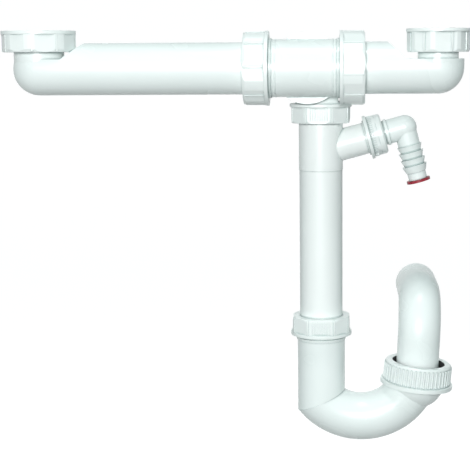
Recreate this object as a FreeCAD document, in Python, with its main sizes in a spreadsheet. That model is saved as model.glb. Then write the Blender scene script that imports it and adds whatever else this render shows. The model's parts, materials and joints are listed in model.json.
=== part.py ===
import FreeCAD, Part
import os
import re

import Sketcher

# Compact trap for a double bowl sink, in millimetres.
# Two inlet arms meet in a tee, and a downpipe drops from the tee into a U-bend
# whose ball joint carries the outlet bend. A hose spigot branches off the downpipe.
# +X runs along the header from left to right, +Z is up and +Y points to the wall.
# The origin is the centre of the left inlet nut's open mouth.
SIZES = {
    # header: the level tubes between the two bowls
    "inlet_spacing": 357.7,
    "inlet_drop": 34.2,
    "header_radius": 23.2,
    "header_wall": 2.2,
    "tee_centre": 238.6,
    "left_tube_end": 222.0,
    "right_tube_start": 256.0,
    # clearances: a part that turns or slides, a thread, and a seal on its tube
    "turn_gap": 0.3,
    "thread_gap": 0.3,
    "seal_gap": 0.15,
    "face_gap": 0.2,
    # two inch nuts on the header and on the left inlet
    "big_thread_radius": 29.807,
    "big_nut_radius": 32.9,
    "big_nut_flat": 31.6,
    "big_nut_narrow_flat": 32.1,
    "big_nut_lip": 33.2,
    "big_nut_length": 22.4,
    "big_lip_height": 2.8,
    "nut_floor": 2.8,
    "nut_chamfer": 2.6,
    "inlet_nut_height": 18.8,
    "left_thread_length": 9.6,
    "relief_step": 0.6,
    # one and a half inch nuts on the right inlet, the downpipe and the trap
    "small_thread_radius": 23.901,
    "small_nut_radius": 28.1,
    "small_nut_flat": 26.3,
    "small_nut_narrow_flat": 27.1,
    "small_nut_lip": 28.7,
    "small_nut_length": 17.6,
    "small_thread_length": 10.0,
    "seal_nose": 1.2,
    "small_lip_height": 2.6,
    "small_chamfer": 2.2,
    "right_nut_height": 20.6,
    "right_thread_length": 11.4,
    # inlet arms
    "left_spigot_radius": 22.3,
    "right_spigot_radius": 18.2,
    "spigot_wall": 2.1,
    "flange_height": 2.8,
    "flange_step": 1.0,
    "washer_height": 3.0,
    "left_notch_reach": 23.6,
    "left_notch_depth": 25.2,
    "left_slope": 38,
    "right_ledge_depth": 26.3,
    "right_slope_reach": 29.0,
    "right_slope": 43,
    # tee
    "tee_radius": 25.7,
    "tee_half": 31.4,
    "ring_width": 2.0,
    "ring_step": 1.0,
    "tee_thread_length": 13.2,
    "drum_radius": 32.0,
    "drum_wall": 2.4,
    "drum_offset": 2.8,
    "drum_front": -2.0,
    "drum_back": 57.0,
    "pipe_setback": 30.0,
    "outlet_collar_top": 65.0,
    # downpipe
    "pipe_offset": 14.2,
    "pipe_radius": 20.0,
    "pipe_wall": 1.9,
    "downpipe_top": 65.2,
    "downpipe_end": 299.0,
    "sleeve_step": 0.5,
    "sleeve_top": 85.0,
    "sleeve_end": 128.0,
    "top_nut_bottom": 84.4,
    # hose branch
    "branch_depth": 110.2,
    "branch_rise": 15.3,
    "branch_radius": 14.6,
    "branch_bore": 10.8,
    "branch_length": 53.0,
    "hose_thread_length": 10.0,
    "hose_thread_radius": 16.624,
    "hose_nut_overlap": 8.6,
    "hose_nut_flat": 18.0,
    "hose_panel_end": 10.4,
    "hose_nut_radius": 18.6,
    "hose_nut_lip": 20.3,
    "hose_lip_height": 2.8,
    "hose_groove": 1.6,
    "hose_floor": 2.2,
    "hose_washer_height": 2.2,
    "hose_flange_height": 2.4,
    "hose_flange_radius": 15.6,
    # hose elbow
    "elbow_step": 26.9,
    "neck_radius": 11.3,
    "neck_bore": 8.6,
    "bead_step": 1.0,
    "bead_back": 17.9,
    "bead_height": 2.4,
    "nozzle_root_radius": 10.2,
    "barb_radius": 11.6,
    "barb_foot_radius": 9.3,
    "barb_start": 17.2,
    "barb_pitch": 6.3,
    "barb_count": 4,
    "nozzle_radius": 8.6,
    "nozzle_bore": 6.6,
    "nozzle_length": 49.4,
    # red cap on the hose nozzle
    "cap_radius": 11.0,
    "cap_height": 2.4,
    "cap_plug_length": 7.0,
    "cap_plug_wall": 1.4,
    # trap
    "trap_nut_top": 265.8,
    "socket_radius": 22.4,
    "socket_bore": 20.5,
    "trap_ring_step": 0.8,
    "trap_ring_height": 2.4,
    "bend_offset": 37.8,
    "bend_depth": 311.1,
    "bend_radius": 53.6,
    "bend_tube_radius": 22.4,
    "bend_wall": 2.1,
    "mitre_angle": 24.2,
    "mitre_drop": 36.1,
    # ball joint at the trap's outlet
    "ball_angle": 18.5,
    "ball_step": 1.9,
    "ball_radius": 24.2,
    "ball_gap": 0.3,
    "cup_wall": 2.3,
    "cup_rim": 3.0,
    "cup_thread_radius": 28.2,
    "cup_thread_length": 7.2,
    "outlet_nut_lean": 5.9,
    "outlet_nut_radius": 31.2,
    "outlet_nut_lip": 34.3,
    "outlet_nut_skirt": 4.4,
    "outlet_lip_height": 3.4,
    "outlet_nut_top": 17.8,
    "outlet_mouth_radius": 25.0,
    "outlet_throat_radius": 23.0,
    "outlet_throat_height": 11.2,
    "outlet_seal_top": 8.6,
    "rib_count": 48,
    "rib_radius": 0.9,
    # outlet bend
    "outlet_lean": 2.65,
    "outlet_height": 78.5,
    "outlet_bend_radius": 36.0,
    "outlet_bore": 18.1,
    "ball_cut": 10.0,
    "ball_wall": 2.4,
    "outlet_spigot_length": 45.0,
    "outlet_chamfer": 1.2,
}

X_AXIS = FreeCAD.Vector(1, 0, 0)
Y_AXIS = FreeCAD.Vector(0, 1, 0)
Z_AXIS = FreeCAD.Vector(0, 0, 1)

doc = FreeCAD.newDocument("compact_trap")
sheet = doc.addObject("Spreadsheet::Sheet", "Sizes")
for row, (alias, number) in enumerate(SIZES.items(), start=1):
    sheet.set(f"A{row}", alias)
    sheet.set(f"B{row}", str(number))
    sheet.setAlias(f"B{row}", alias)
doc.recompute()
WORD = re.compile("[a-z_]*[a-z]")


def linked(text):
    """An expression with each size's name turned into a link to its cell."""
    return WORD.sub(lambda m: "Sizes." + m.group() if m.group() in SIZES else m.group(), text)


def value(text):
    """What an expression of the sheet's sizes comes to now."""
    return float(sheet.evalExpression(linked(text)))


def place(piece, base=("0", "0", "0"), axis=None, angle="0"):
    """Put a piece at a point, turned about an axis, both tied to the sheet."""
    if axis:
        piece.Placement = FreeCAD.Placement(FreeCAD.Vector(), FreeCAD.Rotation(axis, value(angle)))
        piece.setExpression("Placement.Rotation.Angle", linked(angle))
    for letter, text in zip("xyz", base):
        piece.setExpression("Placement.Base." + letter, linked(text))
    return piece


def primitive(kind, name, sizes, *where, **turned):
    """A Part primitive whose sizes and place are tied to the sheet."""
    piece = doc.addObject("Part::" + kind, name)
    for key, text in sizes.items():
        piece.setExpression(key, linked(text))
    return place(piece, *where, **turned)


def tube(name, radius, length, *where, **turned):
    return primitive("Cylinder", name, {"Radius": radius, "Height": length}, *where, **turned)


def ball(name, radius, *where):
    return primitive("Sphere", name, {"Radius": radius}, *where)


def joined(name, *pieces):
    result = doc.addObject("Part::MultiFuse", name)
    result.Shapes = list(pieces)
    result.Refine = False
    return result


def less(name, base, *tools):
    result = doc.addObject("Part::Cut", name)
    result.Base = base
    result.Tool = tools[0] if len(tools) == 1 else joined(name + "_tools", *tools)
    return result


def profile(body, name, points):
    """A closed outline on the body's XZ plane through (radius, height) pairs of expressions."""
    sketch = body.newObject("Sketcher::SketchObject", name)
    plane = next(f for f in body.Origin.OriginFeatures if f.Role == "XZ_Plane")
    sketch.AttachmentSupport = [(plane, "")]
    sketch.MapMode = "FlatFace"
    spots = [FreeCAD.Vector(value(r), value(h), 0) for r, h in points]
    for start, end in zip(spots, spots[1:] + spots[:1]):
        sketch.addGeometry(Part.LineSegment(start, end))
    for line, (spot, (r, h)) in enumerate(zip(spots, points)):
        sketch.addConstraint(Sketcher.Constraint("Coincident", line - 1 if line else len(points) - 1, 2, line, 1))
        for kind, number, text in (("DistanceX", spot.x, r), ("DistanceY", spot.y, h)):
            at = sketch.addConstraint(Sketcher.Constraint(kind, -1, 1, line, 1, number))
            sketch.setExpression(f"Constraints[{at}]", linked(text))
    return sketch


def turned(label, points):
    """A body made by revolving an outline about its own Z axis."""
    body = doc.addObject("PartDesign::Body", label)
    sketch = profile(body, label + "_outline", points)
    spin = body.newObject("PartDesign::Revolution", label + "_turned")
    spin.Profile = sketch
    spin.ReferenceAxis = (sketch, ["V_Axis"])
    spin.Angle = 360
    sketch.Visibility = False
    return body


def circle_copies(body, feature, name, copies):
    pattern = body.newObject("PartDesign::PolarPattern", name)
    pattern.Originals = [feature]
    pattern.Axis = (next(f for f in body.Origin.OriginFeatures if f.Role == "Z_Axis"), [""])
    pattern.Angle = 360
    pattern.setExpression("Occurrences", linked(copies))
    body.Tip = pattern
    return pattern


def flats(body, name, distance, reach, low, high, start, copies="4"):
    """Flats sawn off a nut's side: a pad-sized pocket outside a line, repeated round the axis."""
    sketch = body.newObject("Sketcher::SketchObject", name)
    plane = next(f for f in body.Origin.OriginFeatures if f.Role == "XY_Plane")
    sketch.AttachmentSupport = [(plane, "")]
    sketch.MapMode = "FlatFace"
    sketch.AttachmentOffset = FreeCAD.Placement(FreeCAD.Vector(), FreeCAD.Rotation(Z_AXIS, start))
    sketch.setExpression("AttachmentOffset.Base.z", linked(low))
    near, far = value(distance), value(reach)
    corners = [(near, -far), (far, -far), (far, far), (near, far)]
    texts = [(distance, "-(" + reach + ")"), (reach, "-(" + reach + ")"), (reach, reach), (distance, reach)]
    spots = [FreeCAD.Vector(x, y, 0) for x, y in corners]
    for start_at, end_at in zip(spots, spots[1:] + spots[:1]):
        sketch.addGeometry(Part.LineSegment(start_at, end_at))
    for line, (spot, (x, y)) in enumerate(zip(spots, texts)):
        sketch.addConstraint(Sketcher.Constraint("Coincident", line - 1 if line else 3, 2, line, 1))
        for kind, number, text in (("DistanceX", spot.x, x), ("DistanceY", spot.y, y)):
            at = sketch.addConstraint(Sketcher.Constraint(kind, -1, 1, line, 1, number))
            sketch.setExpression(f"Constraints[{at}]", linked(text))
    cut = body.newObject("PartDesign::Pocket", name + "_cut")
    cut.Profile = sketch
    cut.Reversed = True
    cut.setExpression("Length", linked(f"({high}) - ({low})"))
    return circle_copies(body, cut, name + "_round", copies)


def union_nut(label, kind, length, hole, thread, chamfer, lip, first_flat):
    """A nut whose open, lipped end is at height 0 and whose floor, with its hole, is on top."""
    chamber = f"{kind}_thread_radius - relief_step"
    body = turned(label, [
        (f"{kind}_thread_radius", "0"),
        (f"{kind}_nut_lip", "0"),
        (f"{kind}_nut_lip", lip),
        (f"{kind}_nut_radius", f"{lip} + 0.5 * relief_step"),
        (f"{kind}_nut_radius", f"{length} - {chamfer}"),
        (f"{kind}_nut_radius - 0.5 * {chamfer}", length),
        (hole, length),
        (hole, f"{length} - nut_floor"),
        (chamber, f"{length} - nut_floor"),
        (chamber, thread),
        (f"{kind}_thread_radius", thread),
    ])
    base = f"{lip} + relief_step"
    reach = f"{kind}_nut_lip + relief_step"
    flats(body, label + "_flats", f"{kind}_nut_flat", reach, base, length, first_flat)
    flats(body, label + "_narrow", f"{kind}_nut_narrow_flat", reach, base, length, first_flat + 45)
    return body


def ring(label, inner, outer, height, nose="0"):
    """A flat sealing ring, or one whose upper inner edge is cut back by nose as a cone."""
    points = [(inner, "0"), (outer, "0"), (outer, height), (inner, height)]
    if nose != "0":
        points = [(inner, "0"), (outer, "0"), (outer, f"{height} - {nose}"), (f"{outer} - {nose}", height), (inner, height)]
    return turned(label, points)


AXIS_Z = "-inlet_drop"
SAW = {"Length": "inlet_spacing", "Width": "4 * header_radius", "Height": "inlet_spacing"}

# left inlet: nut, washer, and the arm that carries both
left_nut = union_nut("left_inlet_nut", "big", "inlet_nut_height", "left_spigot_radius + turn_gap",
                     "left_thread_length", "nut_chamfer", "big_lip_height", 67)
place(left_nut, axis=X_AXIS, angle="180")
LEFT_WASHER = "left_thread_length + face_gap"
LEFT_FLANGE = f"{LEFT_WASHER} + washer_height"
left_seal = ring("left_inlet_seal", "left_spigot_radius - spigot_wall", "big_thread_radius - flange_step",
                 "washer_height")
place(left_seal, ("0", "0", f"-({LEFT_FLANGE})"))


def header_tube(name, radius, start, length):
    return tube(name, radius, length, (start, "0", AXIS_Z), axis=Y_AXIS, angle="90")


def left_arm(part, wall):
    """The left arm's outside with wall 0, or its inside with the wall's thickness."""
    bore = f"header_radius - {wall}"
    run = header_tube("left_run_" + part, bore, "0", "left_tube_end")
    reach = f"left_notch_reach + {wall} * tan(left_slope / 2)"
    ledge = f"-left_notch_depth - {wall}"
    shelf = primitive("Box", "left_shelf_" + part, SAW, (f"{reach} - inlet_spacing", "-2 * header_radius", ledge))
    slope = primitive("Box", "left_saw_" + part, SAW, (reach, "-2 * header_radius", ledge),
                      axis=Y_AXIS, angle="-left_slope")
    knee = primitive("Sphere", "left_knee_" + part, {"Radius": bore}, ("0", "0", AXIS_Z), axis=Y_AXIS, angle="-90")
    knee.Angle1 = 0
    return less("left_sloped_" + part, run, shelf, slope), knee


shell, knee = left_arm("outside", "0")
neck = tube("left_neck", "left_spigot_radius", f"inlet_drop - ({LEFT_FLANGE}) - face_gap", ("0", "0", AXIS_Z))
flange = tube("left_flange", "big_thread_radius - flange_step - relief_step", "flange_height",
              ("0", "0", f"-({LEFT_FLANGE}) - flange_height"))
left_outside = joined("left_outside", shell, knee, neck, flange)
hollow, knee = left_arm("inside", "header_wall")
neck_bore = tube("left_neck_bore", "left_spigot_radius - spigot_wall", "inlet_drop", ("0", "0", AXIS_Z))
less("left_inlet_arm", left_outside, hollow, knee, neck_bore)

# right inlet: the arm's top is cut to a ledge below its nut
RIGHT_WASHER = "right_thread_length + face_gap"
RIGHT_FLANGE = f"{RIGHT_WASHER} + washer_height"
right_nut = union_nut("right_inlet_nut", "small", "right_nut_height", "right_spigot_radius + turn_gap",
                      "right_thread_length", "small_chamfer", "small_lip_height", 80)
place(right_nut, ("inlet_spacing", "0", "0"), axis=X_AXIS, angle="180")
right_seal = ring("right_inlet_seal", "right_spigot_radius - spigot_wall",
                  "small_thread_radius - flange_step", "washer_height")
place(right_seal, ("inlet_spacing", "0", f"-({RIGHT_FLANGE})"))


def right_arm(part, wall):
    bore = f"header_radius - {wall}"
    run = header_tube("right_run_" + part, bore, "right_tube_start", "inlet_spacing - right_tube_start")
    ledge = f"-right_ledge_depth - {wall}"
    corner = (f"inlet_spacing - right_slope_reach - {wall} * tan(right_slope / 2)", "-2 * header_radius", ledge)
    shelf = primitive("Box", "right_shelf_" + part, SAW, corner)
    slope = primitive("Box", "right_saw_" + part, SAW, corner, axis=Y_AXIS, angle="right_slope - 90")
    elbow = ball("right_knee_" + part, bore, ("inlet_spacing", "0", AXIS_Z))
    elbow.Angle2 = 0
    shoulder = tube("right_shoulder_" + part, bore, f"inlet_drop - right_ledge_depth - {wall}",
                    ("inlet_spacing", "0", AXIS_Z))
    return less("right_sloped_" + part, run, shelf, slope), elbow, shoulder


shell, knee, shoulder = right_arm("outside", "0")
neck = tube("right_neck", "right_spigot_radius", f"inlet_drop - ({RIGHT_FLANGE}) - face_gap",
            ("inlet_spacing", "0", AXIS_Z))
flange = tube("right_flange", "small_thread_radius - flange_step - relief_step", "flange_height",
              ("inlet_spacing", "0", f"-({RIGHT_FLANGE}) - flange_height"))
right_outside = joined("right_outside", shell, knee, shoulder, neck, flange)
hollow, knee, shoulder = right_arm("inside", "header_wall")
neck_bore = tube("right_neck_bore", "right_spigot_radius - spigot_wall", "inlet_drop",
                 ("inlet_spacing", "0", AXIS_Z))
less("right_inlet_arm", right_outside, hollow, knee, shoulder, neck_bore)

# tee: a sleeve with a threaded mouth at each end, and a drum behind it with the outlet spigot
MOUTH = "tee_half + tee_thread_length"
PIPE_X = "tee_centre + pipe_offset"
OUTLET_LIP = "small_nut_length - top_nut_bottom"
parts = [header_tube("tee_sleeve", "tee_radius", f"tee_centre - ({MOUTH})", f"2 * ({MOUTH})")]
for side, thread_at, ring_at in (("left", MOUTH, "tee_half"), ("right", "-tee_half", "ring_width - tee_half")):
    parts.append(header_tube(f"tee_{side}_thread", "big_thread_radius - thread_gap",
                             f"tee_centre - ({thread_at})", "tee_thread_length"))
    parts.append(header_tube(f"tee_{side}_ring", "tee_radius + ring_step", f"tee_centre - ({ring_at})", "ring_width"))


def drum(part, wall):
    """The drum and its neck, sawn off flat beside the right nut, or their inside with the wall's thickness."""
    barrel = tube("barrel_" + part, f"drum_radius - {wall}", f"drum_back - drum_front - 2 * {wall}",
                  ("tee_centre + drum_offset", f"drum_back - {wall}", AXIS_Z), axis=X_AXIS, angle="90")
    neck = tube("drum_neck_" + part, f"small_thread_radius - thread_gap - {wall}", "outlet_collar_top - inlet_drop",
                (PIPE_X, "pipe_setback", "-outlet_collar_top"))
    saw = primitive("Box", "drum_saw_" + part, SAW,
                    (f"tee_centre + tee_half - 0.5 * ring_width - {wall}", "-header_radius",
                     "-inlet_drop - inlet_spacing / 2"))
    return less("tee_drum_" + part, joined("drum_" + part, barrel, neck), saw)


tee_header = joined("tee_header", *parts)
tee_back = joined("tee_back", tee_header, drum("outside", "0"))
collar = tube("tee_outlet", "small_thread_radius - thread_gap",
              f"small_thread_length - outlet_collar_top - ({OUTLET_LIP})",
              (PIPE_X, "pipe_setback", f"{OUTLET_LIP} - small_thread_length"))
sleeve_bore = header_tube("tee_sleeve_bore", "header_radius + turn_gap", f"tee_centre - 2 * ({MOUTH})",
                          f"4 * ({MOUTH})")
outlet_bore = tube("tee_outlet_bore", "pipe_radius + turn_gap", "top_nut_bottom - downpipe_top + face_gap",
                   (PIPE_X, "pipe_setback", "-top_nut_bottom"))
tee_outside = joined("tee_outside", tee_back, collar)
less("tee_body", tee_outside, sleeve_bore, drum("inside", "drum_wall"), outlet_bore)

TEE_SEAL = "big_nut_length - nut_floor - tee_thread_length - face_gap"
for side, sign, angle, corner in (("left", "-", "-90", 87), ("right", "+", "90", 82)):
    nut = union_nut(f"tee_{side}_nut", "big", "big_nut_length", "header_radius + turn_gap",
                    "tee_thread_length + face_gap", "nut_chamfer", "big_lip_height", corner)
    place(nut, (f"tee_centre {sign} (tee_half + face_gap)", "0", AXIS_Z), axis=Y_AXIS, angle=angle)
    seal = ring(f"tee_{side}_seal", "header_radius + seal_gap", "big_thread_radius - flange_step", TEE_SEAL, "seal_nose")
    place(seal, (f"tee_centre {sign} ({MOUTH} + {TEE_SEAL} + face_gap)", "0", AXIS_Z),
          axis=Y_AXIS, angle=f"0 - ({angle})")

# downpipe with its hose branch, the nut that hangs it from the tee, and the trap's nut
PIPE_SEAL = "small_nut_length - nut_floor - small_thread_length - 2 * face_gap"
TRAP_LIP = "-(trap_nut_top + small_nut_length)"


def pipe_nut(label, base, corner, **way):
    nut = union_nut(label, "small", "small_nut_length", "pipe_radius + turn_gap",
                    "small_thread_length + face_gap", "small_chamfer", "small_lip_height", corner)
    return place(nut, (PIPE_X, "pipe_setback", base), **way)


def pipe_seal(label, base, **way):
    seal = ring(label, "pipe_radius + seal_gap", "small_thread_radius - flange_step", PIPE_SEAL, "seal_nose")
    return place(seal, (PIPE_X, "pipe_setback", base), **way)


pipe_nut("downpipe_nut", OUTLET_LIP, 94, axis=X_AXIS, angle="180")
pipe_seal("downpipe_seal", f"{OUTLET_LIP} - small_thread_length - face_gap - ({PIPE_SEAL})")
pipe_nut("trap_inlet_nut", TRAP_LIP, -90)
pipe_seal("trap_inlet_seal", f"{TRAP_LIP} + small_thread_length + face_gap + {PIPE_SEAL}", axis=X_AXIS, angle="180")

ELBOW = "branch_length + elbow_step"
BRANCH = {"axis": Y_AXIS, "angle": "90 - branch_rise"}
NOZZLE = {"axis": Y_AXIS, "angle": "180 - branch_rise"}


def along_branch(reach):
    """The point on the branch's axis at a distance from the downpipe's axis."""
    return (f"{PIPE_X} + ({reach}) * cos(branch_rise)", "pipe_setback", f"({reach}) * sin(branch_rise) - branch_depth")


def along_nozzle(reach):
    """The point on the nozzle's axis at a distance from the elbow's corner."""
    x, y, z = along_branch(ELBOW)
    return f"{x} + ({reach}) * sin(branch_rise)", y, f"{z} - ({reach}) * cos(branch_rise)"


pipe = tube("plain_pipe", "pipe_radius", "downpipe_end - downpipe_top", (PIPE_X, "pipe_setback", "-downpipe_end"))
moulded = tube("moulded_sleeve", "pipe_radius + sleeve_step", "sleeve_end - sleeve_top",
               (PIPE_X, "pipe_setback", "-sleeve_end"))
branch = tube("branch_outside", "branch_radius", "branch_length - hose_thread_length", along_branch("0"),
              **BRANCH)
thread = tube("branch_thread", "hose_thread_radius - thread_gap", "hose_thread_length",
              along_branch("branch_length - hose_thread_length"), **BRANCH)
pipe_bore = tube("pipe_bore", "pipe_radius - pipe_wall", "2 * downpipe_end", (PIPE_X, "pipe_setback", "-1.5 * downpipe_end"))
branch_hole = tube("branch_hole", "branch_bore", "2 * branch_length", along_branch("0"), **BRANCH)
less("downpipe", joined("downpipe_outside", pipe, moulded, branch, thread), pipe_bore, branch_hole)

# hose elbow, its washer and nut, and the red cap that closes it
HOSE_SEAT = "branch_length + hose_washer_height + face_gap"
HOSE_NUT_INSIDE = "hose_nut_overlap + hose_washer_height + hose_flange_height + 2 * face_gap"
HOSE_NUT_LENGTH = f"{HOSE_NUT_INSIDE} + hose_floor"
hose_nut = turned("hose_nut", [
    ("hose_thread_radius", "0"),
    ("hose_nut_lip", "0"),
    ("hose_nut_lip", "hose_lip_height"),
    ("hose_nut_radius - hose_groove / 2", "hose_lip_height"),
    ("hose_nut_radius - hose_groove / 2", "hose_lip_height + hose_groove"),
    ("hose_nut_radius", "hose_lip_height + hose_groove"),
    ("hose_nut_radius", f"{HOSE_NUT_LENGTH} - hose_groove"),
    ("hose_nut_radius - hose_groove", HOSE_NUT_LENGTH),
    ("neck_radius + turn_gap", HOSE_NUT_LENGTH),
    ("neck_radius + turn_gap", HOSE_NUT_INSIDE),
    ("hose_thread_radius", HOSE_NUT_INSIDE),
])
flats(hose_nut, "hose_nut_panels", "hose_nut_flat", "hose_nut_lip", "hose_lip_height + hose_groove",
      "hose_panel_end", 15, copies="8")
place(hose_nut, along_branch("branch_length - hose_nut_overlap"), **BRANCH)
hose_seal = ring("hose_seal", "branch_bore", "hose_flange_radius", "hose_washer_height")
place(hose_seal, along_branch("branch_length"), **BRANCH)

flange = tube("hose_flange", "hose_flange_radius", "hose_flange_height", along_branch(HOSE_SEAT), **BRANCH)
neck = tube("hose_neck", "neck_radius", f"{ELBOW} - ({HOSE_SEAT})", along_branch(HOSE_SEAT), **BRANCH)
bead = tube("hose_bead", "neck_radius + bead_step", "bead_height", along_branch(f"{ELBOW} - bead_back"), **BRANCH)
corner = ball("hose_corner", "neck_radius", along_branch(ELBOW))
root = tube("nozzle_root", "nozzle_root_radius", "barb_start", along_nozzle("0"), **NOZZLE)
tip = tube("nozzle_tip", "nozzle_radius", "nozzle_length", along_nozzle("0"), **NOZZLE)
barbs = [
    primitive("Cone", f"barb_{n + 1}", {"Radius1": "barb_radius", "Radius2": "barb_foot_radius", "Height": "barb_pitch"},
              along_nozzle(f"barb_start + {n} * barb_pitch"), **NOZZLE)
    for n in range(SIZES["barb_count"])
]
neck_hole = tube("hose_neck_bore", "neck_bore", "2 * elbow_step", along_branch("branch_length - elbow_step"), **BRANCH)
corner_hole = ball("hose_corner_bore", "neck_bore", along_branch(ELBOW))
nozzle_hole = tube("nozzle_hole", "nozzle_bore", "2 * nozzle_length", along_nozzle("0"), **NOZZLE)
less("hose_elbow", joined("hose_elbow_outside", flange, neck, bead, corner, root, tip, *barbs),
     neck_hole, corner_hole, nozzle_hole)

PLUG = "nozzle_bore - seal_gap"
cap = turned("hose_cap", [
    ("0", "cap_height"),
    ("cap_radius", "cap_height"),
    ("cap_radius", "0"),
    (PLUG, "0"),
    (PLUG, "-cap_plug_length"),
    (f"{PLUG} - cap_plug_wall", "-cap_plug_length"),
    (f"{PLUG} - cap_plug_wall", "0"),
    ("0", "0"),
])
place(cap, along_nozzle("nozzle_length + face_gap"), **NOZZLE)

# trap: a socket mitred into a half turn of tube that ends in the cup of a ball joint
BEND_X = f"{PIPE_X} + bend_offset"
BALL = (f"{BEND_X} + (bend_radius + ball_step) * cos(ball_angle)", "pipe_setback",
        "-bend_depth - (bend_radius + ball_step) * sin(ball_angle)")
LEAN = {"axis": Y_AXIS, "angle": "outlet_nut_lean"}
MITRE = {"axis": Y_AXIS, "angle": "-mitre_angle"}
SAW_SIZE = "2 * socket_radius"
MITRE_DEPTH = "bend_depth + mitre_drop"
MITRE_SAW = {"Length": f"2 * {SAW_SIZE}", "Width": f"2 * {SAW_SIZE}", "Height": f"2 * {SAW_SIZE}"}


def mitre_saw(name, side):
    """A block on one side of the mitre, above it with side 0 and below it with side 1."""
    return primitive("Box", name, MITRE_SAW, (
        f"{PIPE_X} - {SAW_SIZE} * cos(mitre_angle) + {side} * 2 * {SAW_SIZE} * sin(mitre_angle)",
        f"pipe_setback - {SAW_SIZE}",
        f"-({MITRE_DEPTH}) - {SAW_SIZE} * sin(mitre_angle) - {side} * 2 * {SAW_SIZE} * cos(mitre_angle)"), **MITRE)


def along_lean(reach):
    """The point on the outlet nut's axis at a height above the ball's centre."""
    return f"{BALL[0]} + ({reach}) * sin(outlet_nut_lean)", BALL[1], f"{BALL[2]} + ({reach}) * cos(outlet_nut_lean)"


def bend(part, socket, tube_radius, cup):
    """The socket and the bend up to the mitre, and the cup's sphere, for the outside or the inside."""
    socket_tube = tube("socket_" + part, socket, f"{MITRE_DEPTH} + 2 * socket_radius + {TRAP_LIP}",
                       (PIPE_X, "pipe_setback", f"-({MITRE_DEPTH}) - 2 * socket_radius"))
    curve = primitive("Torus", "curve_" + part, {"Radius1": "bend_radius", "Radius2": tube_radius},
                      (BEND_X, "pipe_setback", "-bend_depth"), axis=X_AXIS, angle="-90")
    curve.Angle3 = 165
    return [less("socket_mitred_" + part, socket_tube, mitre_saw("below_mitre_" + part, "1")),
            less("curve_mitred_" + part, curve, mitre_saw("above_mitre_" + part, "0")),
            ball("cup_" + part, cup, BALL)]


collar = tube("cup_collar", "cup_thread_radius", "cup_thread_length", along_lean("cup_rim - cup_thread_length"), **LEAN)
socket_thread = tube("socket_thread", "small_thread_radius - thread_gap", "small_thread_length + face_gap",
                     (PIPE_X, "pipe_setback", f"{TRAP_LIP} - face_gap"))
socket_ring = tube("socket_ring", "socket_radius + trap_ring_step", "trap_ring_height",
                   (PIPE_X, "pipe_setback", f"{TRAP_LIP} - 2 * trap_ring_height"))
trap_outside = joined("trap_outside", socket_thread, socket_ring, collar,
                      *bend("outside", "socket_radius", "bend_tube_radius", "ball_radius + ball_gap + cup_wall"))
CUP = "ball_radius + ball_gap"
trap_inside = bend("inside", "socket_bore", "bend_tube_radius - bend_wall", CUP)
mouth = tube("cup_mouth", CUP, "2 * cup_rim", along_lean("0"), **LEAN)
above_rim = tube("above_cup_rim", "2 * cup_thread_radius", "bend_radius", along_lean("cup_rim"), **LEAN)
socket_mouth = tube("socket_mouth", "socket_bore", f"{MITRE_DEPTH} - trap_nut_top - 2 * socket_radius",
                    (PIPE_X, "pipe_setback", f"2 * socket_radius - ({MITRE_DEPTH})"))
less("u_bend", trap_outside, *trap_inside, mouth, above_rim, socket_mouth)

# outlet: the ribbed nut and seal that hold the ball, and the bend that turns to the wall
CEILING = "outlet_seal_top + face_gap"
CHAMBER = "cup_thread_radius + thread_gap"
outlet_nut = turned("outlet_nut", [
    (CHAMBER, "-outlet_nut_skirt"),
    ("outlet_nut_lip", "-outlet_nut_skirt"),
    ("outlet_nut_lip", "outlet_lip_height - outlet_nut_skirt"),
    ("outlet_nut_radius", "outlet_lip_height - outlet_nut_skirt + relief_step"),
    ("outlet_nut_radius", "outlet_nut_top - outlet_chamfer"),
    ("outlet_nut_radius - outlet_chamfer", "outlet_nut_top"),
    ("outlet_mouth_radius", "outlet_nut_top"),
    ("outlet_throat_radius", "outlet_throat_height"),
    ("outlet_throat_radius", CEILING),
    (CHAMBER, CEILING),
])
rib_sketch = outlet_nut.newObject("Sketcher::SketchObject", "rib_outline")
rib_sketch.AttachmentSupport = [(next(f for f in outlet_nut.Origin.OriginFeatures if f.Role == "XY_Plane"), "")]
rib_sketch.MapMode = "FlatFace"
rib_sketch.addGeometry(Part.Circle(FreeCAD.Vector(SIZES["outlet_nut_radius"], 0, 0), Z_AXIS, SIZES["rib_radius"]))
rib_sketch.addConstraint(Sketcher.Constraint("PointOnObject", 0, 3, -1))
for kind, at, name in (("DistanceX", (-1, 1, 0, 3), "outlet_nut_radius"), ("Radius", (0,), "rib_radius")):
    row = rib_sketch.addConstraint(Sketcher.Constraint(kind, *at, SIZES[name]))
    rib_sketch.setExpression(f"Constraints[{row}]", linked(name))
rib = outlet_nut.newObject("PartDesign::Pad", "rib")
rib.Profile = rib_sketch
rib.setExpression("Length", linked("outlet_nut_top - 2 * outlet_chamfer"))
circle_copies(outlet_nut, rib, "ribs", "rib_count")
place(outlet_nut, BALL, **LEAN)

SEAL_BALL = "(ball_radius + 2 * seal_gap)"
outlet_seal = turned("outlet_seal", [
    (f"sqrt({SEAL_BALL}^2 - (cup_rim + face_gap)^2)", "cup_rim + face_gap"),
    ("cup_thread_radius", "cup_rim + face_gap"),
    ("cup_thread_radius", "outlet_seal_top"),
    (f"sqrt({SEAL_BALL}^2 - outlet_seal_top^2)", "outlet_seal_top"),
])
place(outlet_seal, BALL, **LEAN)

TURN_HEIGHT = "outlet_height - outlet_bend_radius"


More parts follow.
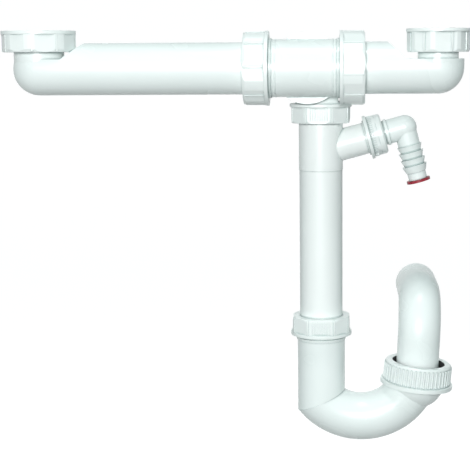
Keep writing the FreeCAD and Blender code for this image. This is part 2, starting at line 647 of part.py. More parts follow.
def outlet_path(part, radius, ball_size):
    """The ball, the upright, the quarter turn and the level run, about the ball's own centre."""
    run = "outlet_spigot_length - outlet_chamfer" if part == "outside" else "2 * outlet_spigot_length"
    quarter = primitive("Torus", "outlet_turn_" + part, {"Radius1": "outlet_bend_radius", "Radius2": radius},
                        ("0", "outlet_bend_radius", TURN_HEIGHT), axis=FreeCAD.Vector(1, -1, -1), angle="120")
    quarter.Angle3 = 90
    return [ball("outlet_ball_" + part, ball_size),
            tube("outlet_upright_" + part, radius, TURN_HEIGHT), quarter,
            tube("outlet_run_" + part, radius, run, ("0", "outlet_bend_radius", "outlet_height"),
                 axis=X_AXIS, angle="-90")]


spigot_end = primitive("Cone", "outlet_end", {"Radius1": "pipe_radius", "Radius2": "pipe_radius - outlet_chamfer",
                                              "Height": "outlet_chamfer"},
                       ("0", "outlet_bend_radius + outlet_spigot_length - outlet_chamfer", "outlet_height"),
                       axis=X_AXIS, angle="-90")
ball_foot = tube("ball_foot", "ball_radius + ball_wall", "ball_radius", ("0", "0", "-ball_radius - ball_cut"))
outlet_bend = less("outlet_bend", joined("outlet_outside", spigot_end, *outlet_path("outside", "pipe_radius", "ball_radius")),
                   ball_foot, *outlet_path("inside", "outlet_bore", "ball_radius - ball_wall"))
place(outlet_bend, BALL, axis=Y_AXIS, angle="outlet_lean")

NODES = """
    left_inlet_arm left_inlet_nut left_inlet_seal right_inlet_arm right_inlet_nut right_inlet_seal
    tee_body tee_left_nut tee_left_seal tee_right_nut tee_right_seal
    downpipe downpipe_nut downpipe_seal hose_elbow hose_nut hose_seal hose_cap
    u_bend trap_inlet_nut trap_inlet_seal outlet_bend outlet_nut outlet_seal
""".split()

doc.recompute()
failed = [piece.Name for piece in doc.Objects if {"Invalid", "Error"} & set(piece.State)]
if failed:
    raise SystemExit(f"not built: {failed}")
shapes = {name: doc.getObjectsByLabel(name)[0].Shape for name in NODES}
for name, shape in shapes.items():
    if shape.isNull() or not shape.isValid() or len(shape.Solids) != 1:
        raise SystemExit(f"{name} isn't one sound solid")
os.makedirs("parts", exist_ok=True)
for name, shape in shapes.items():
    shape.exportStep(f"parts/{name}.step")
    print(f"{name}: {shape.Volume / 1000:.2f} cm3, {len(shape.Faces)} faces")
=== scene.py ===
# %% [markdown]
# # Compact trap for a double bowl sink
# The real object is white polypropylene: moulded arms, a tee, nuts and bends, with one extruded pipe
# between them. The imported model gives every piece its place, so this file adds what a mould, a thread
# and light give: finishes, threads, ribs, ridges, fine rings, a studio and the camera.

# %% Load the frame
import json
import math

import bmesh
import bpy
import numpy as np
from mathutils import Matrix, Vector


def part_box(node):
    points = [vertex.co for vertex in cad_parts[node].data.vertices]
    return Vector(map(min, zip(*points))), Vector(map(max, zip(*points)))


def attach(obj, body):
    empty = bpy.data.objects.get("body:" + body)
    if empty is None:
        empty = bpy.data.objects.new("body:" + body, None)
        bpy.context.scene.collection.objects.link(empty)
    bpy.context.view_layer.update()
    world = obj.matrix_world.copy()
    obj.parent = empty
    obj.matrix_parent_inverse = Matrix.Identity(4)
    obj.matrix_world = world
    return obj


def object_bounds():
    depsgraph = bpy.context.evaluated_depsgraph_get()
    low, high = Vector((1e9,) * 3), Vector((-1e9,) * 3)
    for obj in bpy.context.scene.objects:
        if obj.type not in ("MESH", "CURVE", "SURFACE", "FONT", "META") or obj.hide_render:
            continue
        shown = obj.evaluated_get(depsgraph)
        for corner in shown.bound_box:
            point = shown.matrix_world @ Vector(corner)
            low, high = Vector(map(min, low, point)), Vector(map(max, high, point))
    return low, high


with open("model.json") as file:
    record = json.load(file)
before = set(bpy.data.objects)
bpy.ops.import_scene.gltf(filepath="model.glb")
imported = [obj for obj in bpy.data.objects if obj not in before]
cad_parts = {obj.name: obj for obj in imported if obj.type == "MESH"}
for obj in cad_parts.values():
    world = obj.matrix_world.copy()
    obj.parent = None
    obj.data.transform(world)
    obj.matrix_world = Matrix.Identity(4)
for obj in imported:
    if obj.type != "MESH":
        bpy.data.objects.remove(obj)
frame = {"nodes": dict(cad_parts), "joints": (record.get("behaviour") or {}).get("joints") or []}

cad_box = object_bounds()
nodes = frame["nodes"]
scene = bpy.context.scene
print("pieces in the frame:", len(nodes))

# %% [markdown]
# ## Places and sizes
# A detail has to sit on the piece that carries it, so its place is read from the frame: a node's box gives
# the ends of a nut, and a joint gives the axis that a nut or an elbow turns about. Only the sizes that
# the solids don't carry, such as a thread's pitch, are written here as real millimetres.

# %% Read places from the frame
MM = 0.001
joints = {joint["name"]: joint for joint in frame["joints"]}


def axis_of(joint):
    """The point and the unit direction of a joint's axis."""
    direction = np.array(joints[joint]["axis"], float)
    return np.array(joints[joint]["pos_m"], float), direction / np.linalg.norm(direction)


def span(node):
    """A node's lowest and highest corners as arrays."""
    low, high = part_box(node)
    return np.array(low), np.array(high)


def round_axis(point, direction, radius, angle, height):
    """Points about an axis: its foot, plus height along it, plus radius times the turning side vector."""
    # The side vector is square to the axis and to a helper, which mustn't lie along the axis itself.
    helper = np.array([0.0, 1.0, 0.0]) if abs(direction[1]) < 0.9 else np.array([1.0, 0.0, 0.0])
    side = np.cross(helper, direction)
    side /= np.linalg.norm(side)
    other = np.cross(direction, side)
    turning = np.cos(angle)[..., None] * side + np.sin(angle)[..., None] * other
    return point + height[..., None] * direction + radius[..., None] * turning


print("header axis:", axis_of("tee_turn")[0])

# %% [markdown]
# ## A surface from a grid
# Every added piece is a tube of some section carried along a line. Its points are one array with a row per
# step and a column per corner of the section, so the faces follow from the array's shape alone. The first
# and last rows are closed with one face each, because an open end would show the inside of the shell.

# %% Grid to mesh
SHARP_CORNER = math.radians(40)


def finished_piece(name, mesh, body, material):
    """The mesh as an object: faces outwards, curves smooth, corners sharp, and told what carries it."""
    shell = bmesh.new()
    shell.from_mesh(mesh)
    bmesh.ops.recalc_face_normals(shell, faces=shell.faces)
    shell.to_mesh(mesh)
    shell.free()
    mesh.polygons.foreach_set("use_smooth", np.ones(len(mesh.polygons), bool))
    mesh.set_sharp_from_angle(angle=SHARP_CORNER)
    mesh.materials.append(material)
    piece = bpy.data.objects.new(name, mesh)
    scene.collection.objects.link(piece)
    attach(piece, body)
    return piece


def tube_mesh(name, points, body, material, closed=False):
    """Quads between neighbours of a (rows, corners, 3) array, wrapped round the corners, with capped ends."""
    rows, corners = points.shape[:2]
    index = np.arange(rows * corners).reshape(rows, corners)
    ahead = np.roll(index, -1, axis=0) if closed else index[1:]
    here = index if closed else index[:-1]
    quads = np.stack([here, np.roll(here, -1, 1), np.roll(ahead, -1, 1), ahead], axis=-1).reshape(-1, 4)
    faces = quads.tolist()
    if not closed:
        faces += [index[0][::-1].tolist(), index[-1].tolist()]
    mesh = bpy.data.meshes.new(name)
    mesh.from_pydata(points.reshape(-1, 3).tolist(), [], faces)
    return finished_piece(name, mesh, body, material)


print("corners sharper than", round(math.degrees(SHARP_CORNER)), "degrees stay sharp")

# %% [markdown]
# ## Colours and shader nodes
# Colours are written as they look on a screen, as sRGB hex, and a shader wants linear light, so one
# function turns them. One more adds a node with its settings and links, which keeps each material short
# enough to read as a recipe.


# %% Colour and node helpers
def linear(hex_colour):
    """An sRGB hex colour as linear RGBA: each channel is undone by the sRGB curve."""
    channels = np.array([int(hex_colour[i:i + 2], 16) for i in (1, 3, 5)]) / 255
    light = np.where(channels <= 0.04045, channels / 12.92, ((channels + 0.055) / 1.055) ** 2.4)
    return (*light, 1.0)


def add(tree, kind, inputs=None, **settings):
    """A shader node with its settings; an input takes a number, a colour, or another node's output."""
    node = tree.nodes.new("ShaderNode" + kind)
    for key, setting in settings.items():
        setattr(node, key, setting)
    for key, source in (inputs or {}).items():
        if isinstance(source, bpy.types.NodeSocket):
            tree.links.new(source, node.inputs[key])
        else:
            node.inputs[key].default_value = source
    return node


def new_material(name):
    """An empty node material and its output."""
    material = bpy.data.materials.new(name)
    material.use_nodes = True
    material.node_tree.nodes.clear()
    return material, material.node_tree, add(material.node_tree, "OutputMaterial")


print("middle grey as linear light:", round(float(linear("#808080")[0]), 3))

# %% [markdown]
# ## Moulded polypropylene
# Polypropylene comes out of a polished steel mould glossy but never mirror flat: it shrinks as it cools,
# so the surface waves very slightly over about a centimetre and has a fine skin. One noise gives the wave,
# one the skin, and a Bevel node rounds the edges the way a mould does. White pigment fills it. Where two
# walls stand close together, stray light hardly gets in, and the white looks grey green there. That shade
# is painted into the base colour: an Ambient Occlusion node finds those corners by the shape around a
# point, wherever the camera stands, and mixes a grey green into the colour.

# %% Moulded white plastic
PLASTIC_IOR = 1.49
# Painted corner shade: how far the Ambient Occlusion node looks, its grey green, and its share in a shut
# corner.
CORNER_SHADE_REACH = 2.2 * MM
CORNER_SHADE_COLOUR = "#6F8C8A"
CORNER_SHADE_DEPTH = 0.65
SHUT_CORNER, OPEN_FACE = 0.45, 0.97
DRIFT_SIZE = 40 * MM
WAVE_SIZE = 9 * MM
SKIN_SIZE = 0.7 * MM
SKIN_SHARE = 0.12
SKIN_HEIGHT = 0.05 * MM


def painted_corner_shade(tree, colour, depth):
    """The colour mixed with a painted grey green shade: by depth in a shut corner, not at all in the open."""
    near = add(tree, "AmbientOcclusion", {"Distance": CORNER_SHADE_REACH}, samples=6).outputs["AO"]
    share = add(tree, "MapRange", {"Value": near, "From Min": SHUT_CORNER, "From Max": OPEN_FACE,
                                   "To Min": depth, "To Max": 0.0})
    return add(tree, "Mix", {"Factor": share.outputs[0], "A": colour, "B": linear(CORNER_SHADE_COLOUR)},
               data_type="RGBA").outputs["Result"]


def moulded_plastic(name, hex_light, hex_deep, roughness, edge, wave=0.35, corners=CORNER_SHADE_DEPTH):
    """Glossy moulded plastic: the colour drifts between two tones, and edge millimetres round the edges."""
    material, tree, output = new_material(name)
    place = add(tree, "TexCoord").outputs["Object"]
    drift = add(tree, "TexNoise", {"Vector": place, "Scale": 1 / DRIFT_SIZE, "Detail": 2.0})
    colour = add(tree, "Mix", {"Factor": drift.outputs["Fac"], "A": linear(hex_light), "B": linear(hex_deep)},
                 data_type="RGBA")
    sheen = add(tree, "MapRange", {"Value": drift.outputs["Fac"], "To Min": roughness - 0.04,
                                   "To Max": roughness + 0.05})
    shrink = add(tree, "TexNoise", {"Vector": place, "Scale": 1 / WAVE_SIZE, "Detail": 1.0})
    skin = add(tree, "TexNoise", {"Vector": place, "Scale": 1 / SKIN_SIZE, "Detail": 2.0})
    height = add(tree, "Math", {0: skin.outputs["Fac"], 1: SKIN_SHARE, 2: shrink.outputs["Fac"]},
                 operation="MULTIPLY_ADD")
    rounded = add(tree, "Bevel", {"Radius": edge * MM}, samples=4)
    bump = add(tree, "Bump", {"Height": height.outputs[0], "Strength": wave, "Distance": SKIN_HEIGHT,
                              "Normal": rounded.outputs[0]})
    # Painted shade: corners is the share of grey green mixed into the base colour in shut corners.
    shaded = painted_corner_shade(tree, colour.outputs["Result"], corners)
    skin_shader = add(tree, "BsdfPrincipled", {
        "Base Color": shaded, "Roughness": sheen.outputs[0], "IOR": PLASTIC_IOR,
        "Normal": bump.outputs[0]})
    tree.links.new(skin_shader.outputs[0], output.inputs[0])
    return material


fitting_white = moulded_plastic("moulded_polypropylene_gloss", "#F5FBFA", "#EFF7F5", roughness=0.26, edge=0.5)
nut_white = moulded_plastic("moulded_polypropylene_nut", "#F6FBFA", "#EFF6F4", roughness=0.3, edge=0.3,
                            wave=0.3)
cap_red = moulded_plastic("moulded_polyethylene_red", "#A01A30", "#861628", roughness=0.4, edge=0.2,
                          corners=0.0)
print("moulded finishes:", fitting_white.name, nut_white.name, cap_red.name)

# %% [markdown]
# ## Extruded pipe under a moulded sleeve
# The downpipe is a branch moulded over the top of a drawn pipe. Drawing leaves faint straight lines along
# the pipe and a duller skin than the mould's, so the pipe needs two finishes that meet at the sleeve's end.
# One material holds both, and the height above the sleeve's edge chooses between them.

# %% Pipe finish
SLEEVE_END = -128.0 * MM
SLEEVE_BLEND = 2 * MM
DRAW_LINE_WIDTH = 0.9 * MM
DRAW_LINE_LENGTH = 120 * MM
PIPE_DRIFT_SIZE = 50 * MM
DRAW_LINE_HEIGHT = 0.06 * MM
PIPE_EDGE = 0.5 * MM


def drawn_pipe(name):
    """Satin drawn plastic with lines along Z below the sleeve's end, and the glossy moulded skin above it."""
    material, tree, output = new_material(name)
    place = add(tree, "TexCoord").outputs["Object"]
    stretched = add(tree, "Mapping", {"Vector": place, "Scale": (
        1 / DRAW_LINE_WIDTH, 1 / DRAW_LINE_WIDTH, 1 / DRAW_LINE_LENGTH)})
    lines = add(tree, "TexNoise", {"Vector": stretched.outputs[0], "Scale": 1.0, "Detail": 3.0})
    drift = add(tree, "TexNoise", {"Vector": place, "Scale": 1 / PIPE_DRIFT_SIZE, "Detail": 2.0})
    height = add(tree, "SeparateXYZ", {"Vector": place}).outputs["Z"]
    above = add(tree, "MapRange", {"Value": height, "From Min": SLEEVE_END - SLEEVE_BLEND,
                                   "From Max": SLEEVE_END + SLEEVE_BLEND},
                interpolation_type="SMOOTHSTEP").outputs[0]
    roughness = add(tree, "Mix", {"Factor": above, "A": 0.42, "B": 0.24})
    colour = add(tree, "Mix", {"Factor": drift.outputs["Fac"], "A": linear("#F6FAF9"),
                               "B": linear("#F0F5F3")}, data_type="RGBA")
    depth = add(tree, "Mix", {"Factor": above, "A": 0.35, "B": 0.08})
    rounded = add(tree, "Bevel", {"Radius": PIPE_EDGE}, samples=4)
    bump = add(tree, "Bump", {"Height": lines.outputs["Fac"], "Strength": depth.outputs["Result"],
                              "Distance": DRAW_LINE_HEIGHT, "Normal": rounded.outputs[0]})
    # Painted shade: the same grey green as on the moulded plastic, mixed into the base colour in shut
    # corners.
    shaded = painted_corner_shade(tree, colour.outputs["Result"], CORNER_SHADE_DEPTH)
    shader = add(tree, "BsdfPrincipled", {
        "Base Color": shaded, "Roughness": roughness.outputs["Result"], "IOR": PLASTIC_IOR,
        "Normal": bump.outputs[0]})
    tree.links.new(shader.outputs[0], output.inputs[0])
    return material


pipe_white = drawn_pipe("drawn_polypropylene_satin")
print("sleeve ends at", SLEEVE_END)

# %% [markdown]
# ## Rubber of the seals
# The washers and rings are pressed from black rubber. They show only as a thin line in a nut's mouth or
# under the ribbed nut, but a matte black with a dusty bloom still reads as another material there.

# %% Seal rubber
BLOOM_SIZE = 4 * MM
RUBBER_IOR = 1.52


def pressed_rubber(name):
    """Matte black rubber whose bloom lightens it in soft patches a few millimetres wide."""
    material, tree, output = new_material(name)
    place = add(tree, "TexCoord").outputs["Object"]
    bloom = add(tree, "TexNoise", {"Vector": place, "Scale": 1 / BLOOM_SIZE, "Detail": 4.0})
    colour = add(tree, "Mix", {"Factor": bloom.outputs["Fac"], "A": linear("#1C1D1E"),
                               "B": linear("#2B2D2E")}, data_type="RGBA")
    bump = add(tree, "Bump", {"Height": bloom.outputs["Fac"], "Strength": 0.3, "Distance": 0.1 * MM})
    shader = add(tree, "BsdfPrincipled", {
        "Base Color": colour.outputs["Result"], "Roughness": 0.72, "IOR": RUBBER_IOR,
        "Normal": bump.outputs[0]})
    tree.links.new(shader.outputs[0], output.inputs[0])
    return material


seal_rubber = pressed_rubber("pressed_rubber_black")
print("seal finish:", seal_rubber.name)

# %% [markdown]
# ## Which piece has which finish
# A node's name says what the piece is, so its ending is enough to choose: seals are rubber, nuts come from
# a slightly duller mould than the bends and arms, the cap is red, and the downpipe has the drawn finish.

# %% Finish of every piece
for name, node in nodes.items():
    if name.endswith("_seal"):
        finish = seal_rubber
    elif name == "hose_cap":
        finish = cap_red
    elif name == "downpipe":
        finish = pipe_white
    else:
        finish = nut_white if name.endswith("_nut") else fitting_white
    node.data.materials.clear()
    node.data.materials.append(finish)
print("finished pieces:", len(nodes))

# %% [markdown]
# ## Threads in the inlet nuts
# The mouths of the two inlet nuts are open, so their pipe threads show from above. A thread is a ridge
# with a narrow crest on a helix: here it goes down one pitch a turn from the mouth, and it grows and fades
# over the first and last half turn. The whole ridge is one array of sections set round the nut's axis.

# %% Inlet threads
THREAD_PITCH = 2.309 * MM
THREAD_DEPTH = 1.1
THREAD_ROOT = 0.15
THREAD_STEPS = 72
THREADS = {"left_inlet_nut": {"radius": 29.8 * MM, "length": 9.2 * MM},
           "right_inlet_nut": {"radius": 23.9 * MM, "length": 11.0 * MM}}


def inner_thread(nut, radius, length):
    """A ridge on a helix: it goes down a pitch a turn, and its crest stands a depth inside the wall."""
    foot, direction = axis_of(nut + "_turn")
    top = span(nut)[1][2]
    turns = length / THREAD_PITCH - 1
    angle = np.linspace(0, turns * 2 * np.pi, int(turns * THREAD_STEPS))
    fade = np.clip(np.minimum(angle, angle[-1] - angle) / np.pi, 0.02, 1)
    level = top - foot[2] - 0.5 * THREAD_PITCH - angle / (2 * np.pi) * THREAD_PITCH
    across = np.array([0.42, 0.08, -0.08, -0.42]) * THREAD_PITCH
    inward = np.array([-THREAD_ROOT, THREAD_DEPTH, THREAD_DEPTH, -THREAD_ROOT]) * MM
    height = level[:, None] + across[None, :]
    distance = radius - inward[None, :] * np.where(inward > 0, fade[:, None], 1)
    spin = np.broadcast_to(angle[:, None], height.shape)
    points = round_axis(foot, direction, distance, spin, height)
    return tube_mesh(nut + "_thread", points, nut, nut_white)


threads = [inner_thread(nut, **sizes) for nut, sizes in THREADS.items()]
print("thread points:", [len(piece.data.vertices) for piece in threads])

# %% [markdown]
# ## Bars along a nut
# Ribs and ridges are the same thing at two sizes: a low bar along the nut's axis whose ends fall away. All
# bars of a nut are one array of (bar, station, corner) points. Where the nut has flats, its surface isn't
# round, so a ray from outside finds how far out the surface stands under each bar.

# %% Bars set round a nut
OUTSIDE = 1.0
BAR_SLOPE = 1.2 * MM


def surface_radius(node, foot, direction, angle, height):
    """How far from the axis a node's outer surface stands at an angle and height, by a ray inwards."""
    aim = round_axis(foot, direction, np.array([OUTSIDE]), np.array([angle]), np.array([height]))[0]
    centre = foot + height * direction
    inwards = centre - aim
    to_node = nodes[node].matrix_world.inverted()
    turn_only = to_node.to_3x3()
    hit, spot, _, _ = nodes[node].ray_cast(to_node @ Vector(aim), turn_only @ Vector(inwards))
    found = np.array(nodes[node].matrix_world @ spot)
    return float(np.linalg.norm(found - centre)) if hit else 0.0


def nut_bars(name, nut, angles, ends, half_width, rise, most=OUTSIDE):
    """Low trapezium bars between two heights: each stands rise above the surface, but within most."""
    foot, direction = axis_of(nut + "_turn")
    low, high = (end * MM for end in ends)
    slope = min(BAR_SLOPE, 0.25 * (high - low))
    stations = np.array([low, low + slope, high - slope, high])
    across = np.array([-1.0, -0.6, 0.6, 1.0]) * half_width
    lift = np.array([-0.7, 1.0, 1.0, -0.7])
    under = np.array([surface_radius(nut, foot, direction, angle, 0.5 * (low + high)) for angle in angles])
    fall = np.array([0.2, 1.0, 1.0, 0.2])
    out = np.where(lift > 0, fall[:, None] * rise, lift * rise)
    radius = np.minimum(under[:, None, None] + out[None], most)
    shape = (len(angles), 4, 4)
    angle = np.broadcast_to(np.array(angles)[:, None, None] + across / under[:, None, None], shape)
    height = np.broadcast_to(stations[None, :, None], shape)
    points = round_axis(foot, direction, radius, angle, height).reshape(-1, 3)
    # Four stations of four corners make 16 points a bar, three rows of side faces and two end faces.
    first = np.arange(len(angles))[:, None, None] * 16
    row = np.arange(3)[:, None] * 4
    corner = np.arange(4)
    after = (corner + 1) % 4
    sides = np.stack([row + corner, row + after, row + after + 4, row + corner + 4], axis=-1).reshape(-1, 4)
    caps = np.array([corner[::-1], corner + 12])
    faces = (first + np.concatenate([sides, caps])[None]).reshape(-1, 4)
    mesh = bpy.data.meshes.new(name)
    mesh.from_pydata(points.tolist(), [], faces.tolist())
    return finished_piece(name, mesh, nut, nut_white)


tee_front = surface_radius("tee_body", *axis_of("tee_turn"), -math.pi / 2, 0.0)
print("the tee's front stands", round(tee_front / MM, 1), "mm from its axis")

# %% [markdown]
# ## Ribs of the hose nut and ridges of the big nuts
# The half of the hose nut next to its lip carries fine grip ribs. The union nuts have broad and narrow
# panels in turn, with a ridge where two panels meet, so eight ridges stand round each nut: two per quarter.
# The two nuts on the downpipe also have fine lines on their broad panels.

# %% Ribs and ridges
RIB_COUNT = 56
LINE_COUNT = 8
RIB = {"half_width": 0.55 * MM, "rise": 0.45 * MM}
RIDGE = {"half_width": 1.15 * MM, "rise": 0.8 * MM}
LINE = {"half_width": 0.5 * MM, "rise": 0.25 * MM}
RIB_ENDS = (-4.6, -0.2)
FACING = -90
LIP_GAP = 0.05 * MM
BIG_LIP, SMALL_LIP = 33.2 * MM, 28.7 * MM

# A nut's first and last bar in a quarter, in degrees from its front; the bars' ends in mm; its lip's radius.
UNION_NUTS = {
    "left_inlet_nut": ((-48, 3), (-8.2, 7.0), BIG_LIP),
    "right_inlet_nut": ((-31, 22), (-9.8, 7.2), SMALL_LIP),
    "tee_left_nut": ((-3, 47), (-9.4, 9.0), BIG_LIP),
    "tee_right_nut": ((-44, 9), (-8.8, 9.6), BIG_LIP),
    "downpipe_nut": ((-29, 22), (-8.6, 5.4), SMALL_LIP),
    "trap_inlet_nut": ((-26, 26), (-5.6, 8.4), SMALL_LIP),
}
LINED_NUTS = {
    "downpipe_nut": ((-20, 13), (-7.0, 4.6)),
    "trap_inlet_nut": ((-17, 17), (-4.8, 7.0)),
}


def quarter_angles(start, end, count=2):
    """Angles from start to end, in degrees from the nut's front, repeated in each quarter, as radians."""
    once = np.linspace(start, end, count) + FACING
    return np.radians((once[None] + 90 * np.arange(4)[:, None]).ravel())


hose_ribs = nut_bars("hose_nut_ribs", "hose_nut", np.linspace(0, 2 * np.pi, RIB_COUNT, endpoint=False),
                     RIB_ENDS, **RIB)
ridges = [nut_bars(nut + "_ridges", nut, quarter_angles(*turns), ends, most=lip - LIP_GAP, **RIDGE)
          for nut, (turns, ends, lip) in UNION_NUTS.items()]
lines = [nut_bars(nut + "_lines", nut, quarter_angles(*turns, LINE_COUNT), ends, **LINE)
         for nut, (turns, ends) in LINED_NUTS.items()]
print("ribs, ridges and lines:", [len(piece.data.polygons) for piece in (hose_ribs, *ridges, *lines)])

# %% [markdown]
# ## Lip of the outlet's seal
# Between the ribbed nut and the outlet bend a dark gap shows, because the rubber seal has a lip that lines
# the nut's flared mouth. The lip is a thin cone of revolution about the swivel's axis: its section is a
# closed four-cornered outline, turned in equal steps.

# %% Seal lip
LIP_SECTION = [(22.6, 11.4), (22.9, 11.4), (24.75, 17.4), (24.4, 17.4)]
LIP_STEPS = 96


def turned_ring(name, axis, section, steps, body, material):
    """A closed outline of (radius, height) corners in millimetres, turned about an axis until it closes."""
    foot, direction = axis
    corners = np.array(section) * MM
    spin = np.linspace(0, 2 * np.pi, steps, endpoint=False)
    distance = np.broadcast_to(corners[:, 0], (steps, len(corners)))
    height = np.broadcast_to(corners[:, 1], (steps, len(corners)))
    angle = np.broadcast_to(spin[:, None], (steps, len(corners)))
    points = round_axis(foot, direction, distance, angle, height)
    return tube_mesh(name, points, body, material, closed=True)


seal_lip = turned_ring("outlet_seal_lip", axis_of("outlet_swivel"), LIP_SECTION, LIP_STEPS, "outlet_seal",
                       seal_rubber)
print("lip of the seal:", len(seal_lip.data.polygons), "faces")

# %% [markdown]
# ## Steps of the tee's sleeve
# Next to each nut the tee's sleeve thickens in two low steps, which read as fine rings. Each is a low ring
# with sloped sides on the sleeve's own axis, and the sleeve's surface is found the way the nuts' was. The
# bend's mouth has one such ring below the trap's nut.

# %% Rings on the tee and the bend
RING_HALF_WIDTH = 0.7 * MM
RING_RISE = 0.3 * MM
RING_SINK = 0.3 * MM
RING_STEPS = 128
TEE_STEPS = (-28.5, -25.6, 25.6, 28.5)
MOUTH_STEP = 3.4


def step_ring(name, node, joint, place):
    """A ring with sloped sides round a node's surface, place millimetres along a joint's axis."""
    foot, direction = axis_of(joint)
    height = place * MM
    radius = surface_radius(node, foot, direction, math.radians(FACING), height)
    inner, outer = radius - RING_SINK, radius + RING_RISE
    section = np.array([(inner, height - RING_HALF_WIDTH), (outer, height - 0.6 * RING_HALF_WIDTH),
                        (outer, height + 0.6 * RING_HALF_WIDTH), (inner, height + RING_HALF_WIDTH)])
    return turned_ring(name, (foot, direction), section / MM, RING_STEPS, node, fitting_white)


rings = [step_ring(f"tee_ring_{number}", "tee_body", "tee_turn", place)
         for number, place in enumerate(TEE_STEPS)]
rings.append(step_ring("trap_mouth_ring", "u_bend", "trap_turn", MOUTH_STEP))
print("rings:", len(rings))

# %% [markdown]
# ## Back of the drum
# The drum behind the header ends in a flat round face. A mould fills it through one point in the middle, so
# a small stub of the gate is left there, and a low ring stiffens the face.

# %% Ring and gate stub of the drum
DRUM_OFFSET = 2.8 * MM
DRUM_RING = 25.0
GATE_RADIUS = 2.4
GATE_STEPS = 32

tee_axis = axis_of("tee_turn")[0]
drum_back = (np.array([tee_axis[0] + DRUM_OFFSET, 0.0, tee_axis[2]]), np.array([0.0, 1.0, 0.0]))
back_face = span("tee_body")[1][1] / MM
sunk, raised = back_face - 0.3, back_face + 0.6
drum_ring = turned_ring("drum_ring", drum_back,
                        [(DRUM_RING - 1.3, sunk), (DRUM_RING - 0.8, raised),
                         (DRUM_RING + 0.8, raised), (DRUM_RING + 1.3, sunk)],
                        RING_STEPS, "tee_body", fitting_white)
drum_gate = turned_ring("drum_gate", drum_back,
                        [(0.05, sunk), (0.05, back_face + 0.9),
                         (0.7 * GATE_RADIUS, back_face + 0.8), (GATE_RADIUS, sunk)],
                        GATE_STEPS, "tee_body", fitting_white)
print("drum's back face at", round(float(back_face), 1), "mm, pieces:", drum_ring.name, drum_gate.name)

# %% [markdown]
# ## Studio
# The object is shown on plain white. The floor lies far below, because the trap hangs from the sink, and
# curves up into a wall behind. Only what the camera sees of it is made white by a glow on top of
# its own grey, so that it still takes the object's shadow and hardly lights the object from below.

# %% Floor and backdrop
FLOOR_LEVEL = -0.75
FLOOR_FRONT = -3.0
CURVE_START, CURVE_RADIUS, CURVE_POINTS = 3.0, 1.0, 17
WALL_HEIGHT = 4.0
HALF_WIDTH = 5.0


def studio_sweep():
    """A sheet that runs flat, turns up through a quarter circle and goes on as a wall."""
    bend = np.linspace(0, np.pi / 2, CURVE_POINTS)
    depth = np.concatenate([[FLOOR_FRONT], CURVE_START + CURVE_RADIUS * np.sin(bend),
                            [CURVE_START + CURVE_RADIUS]])
    height = FLOOR_LEVEL + np.concatenate([[0.0], CURVE_RADIUS * (1.0 - np.cos(bend)), [WALL_HEIGHT]])
    width = np.array([-HALF_WIDTH, HALF_WIDTH])
    points = np.stack(np.broadcast_arrays(width[:, None], depth[None], height[None]), axis=-1)
    count = len(depth)
    step = np.arange(count - 1)
    faces = np.stack([step, step + count, step + count + 1, step + 1], axis=-1)
    mesh = bpy.data.meshes.new("studio_sweep")
    mesh.from_pydata(points.reshape(-1, 3).tolist(), [], faces.tolist())
    mesh.polygons.foreach_set("use_smooth", np.ones(len(faces), bool))
    sweep = bpy.data.objects.new("studio_sweep", mesh)
    scene.collection.objects.link(sweep)
    return sweep


def seen_directly(tree):
    """1 for rays that show a surface, straight, mirrored or through glass, and 0 for rays that light."""
    path = add(tree, "LightPath").outputs
    seen = add(tree, "Math", {0: path["Is Camera Ray"], 1: path["Is Glossy Ray"]}, operation="MAXIMUM")
    any_of_three = add(tree, "Math", {0: seen.outputs[0], 1: path["Is Transmission Ray"]},
                       operation="MAXIMUM")
    return any_of_three.outputs[0]


def seen_white(name, hex_colour, glow):
    """A pale matte sheet with a glow that only camera, glossy and see-through rays meet."""
    material, tree, output = new_material(name)
    strength = add(tree, "Math", {0: seen_directly(tree), 1: glow}, operation="MULTIPLY")
    matte = add(tree, "BsdfDiffuse", {"Color": linear(hex_colour)})
    light = add(tree, "Emission", {"Color": linear("#FFFFFF"), "Strength": strength.outputs[0]})
    both = add(tree, "AddShader", {0: matte.outputs[0], 1: light.outputs[0]})
    tree.links.new(both.outputs[0], output.inputs[0])
    return material


sweep = studio_sweep()
sweep.data.materials.append(seen_white("studio_paper", "#6A706F", glow=0.97))
print("studio floor at", FLOOR_LEVEL, "m")

# %% [markdown]
# ## Light
# White plastic on white shows only by its shading. One wide lamp stands in front, a little above the
# header, so a tube is brightest in its middle and falls off to both edges. A small one hangs high up, and
# the arm's shadow from it falls on top of the outlet bend. The light around is weak and a little green,
# darker from the floor's side than from the sky's, and the world holds it as a gradient. A third lamp
# stands straight behind. It lights only what faces away from the camera, for the views from behind, and is
# left out of reflections, because it would edge every tube with a bright line.

# %% World and lamps
LOW_RAY, HIGH_RAY = -0.6, 0.7


def gradient_world(hex_low, hex_high, strength):
    """A world whose colour goes by a ray's height from low to high, and which looks white to the camera."""
    world = bpy.data.worlds.new("soft_studio")
    world.use_nodes = True
    tree = world.node_tree
    tree.nodes.clear()
    ray = add(tree, "TexCoord").outputs["Generated"]
    height = add(tree, "SeparateXYZ", {"Vector": ray}).outputs["Z"]
    share = add(tree, "MapRange", {"Value": height, "From Min": LOW_RAY, "From Max": HIGH_RAY},
                interpolation_type="SMOOTHSTEP")
    colour = add(tree, "Mix", {"Factor": share.outputs[0], "A": linear(hex_low), "B": linear(hex_high)},
                 data_type="RGBA")
    around = add(tree, "Background", {"Color": colour.outputs["Result"], "Strength": strength})
    white = add(tree, "Background", {"Color": linear("#FFFFFF"), "Strength": 1.0})
    both = add(tree, "MixShader", {0: seen_directly(tree), 1: around.outputs[0], 2: white.outputs[0]})
    output = add(tree, "OutputWorld")
    tree.links.new(both.outputs[0], output.inputs[0])
    scene.world = world


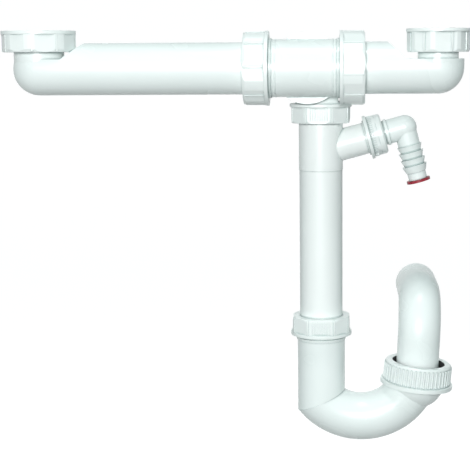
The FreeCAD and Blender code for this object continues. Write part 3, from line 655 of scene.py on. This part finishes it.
def soft_lamp(name, place, target, width, height, power, shines=True):
    """A wide lamp that faces a target; one that doesn't shine is left out of reflections."""
    light = bpy.data.lights.new(name, "AREA")
    light.shape = "RECTANGLE"
    light.size = width
    light.size_y = height
    light.energy = power
    lamp = bpy.data.objects.new(name, light)
    lamp.location = place
    lamp.rotation_euler = (Vector(target) - Vector(place)).to_track_quat("-Z", "Y").to_euler()
    lamp.visible_camera = False
    lamp.visible_glossy = shines
    scene.collection.objects.link(lamp)
    return lamp


gradient_world("#304145", "#7E9291", strength=1.0)
middle = tuple(0.5 * (np.array(cad_box[0]) + np.array(cad_box[1])))
lamps = [
    soft_lamp("front_lamp", (0.12, -1.6, 0.14), middle, width=0.7, height=0.5, power=22.5),
    soft_lamp("top_lamp", (0.3, -0.62, 2.0), middle, width=0.3, height=0.3, power=9.5),
    soft_lamp("back_lamp", (0.2, 1.7, 0.2), middle, width=1.4, height=1.0, power=14, shines=False),
]
print("lamps:", {lamp.name: lamp.data.energy for lamp in lamps})

# %% [markdown]
# ## Camera
# The photograph was taken from well in front with a long lens, looking down a little. The camera stands
# right of the object's middle. It is turned towards the middle by part of the way only, since the upright
# lines stay nearly upright, and a shift of the lens does the rest. The picture is 470 pixels wide, so the
# lens is measured in pixels first. The distance gives the right size difference between the near and the
# far pipe.

# %% Camera
IMAGE_WIDTH = 470
FOCAL_PIXELS = 1191.6
CENTRE_PIXEL = 295
PITCH = 8.556
YAW = 2.121
ROLL = 0.336
STAND = (269.2 * MM, -1075.2 * MM, -23.2 * MM)

lens = bpy.data.cameras.new("camera")
lens.sensor_width = 36
lens.lens = FOCAL_PIXELS / IMAGE_WIDTH * lens.sensor_width
lens.shift_x = (IMAGE_WIDTH / 2 - CENTRE_PIXEL) / IMAGE_WIDTH
camera = bpy.data.objects.new("camera", lens)
camera.location = STAND
turned = Matrix.Rotation(math.radians(YAW), 3, "Z") @ Matrix.Rotation(math.radians(90 - PITCH), 3, "X")
camera.rotation_euler = (turned @ Matrix.Rotation(math.radians(-ROLL), 3, "Z")).to_euler()
scene.collection.objects.link(camera)
scene.camera = camera
scene.view_settings.view_transform = "Standard"
print("lens", round(lens.lens, 1), "mm, shift", round(lens.shift_x, 3))
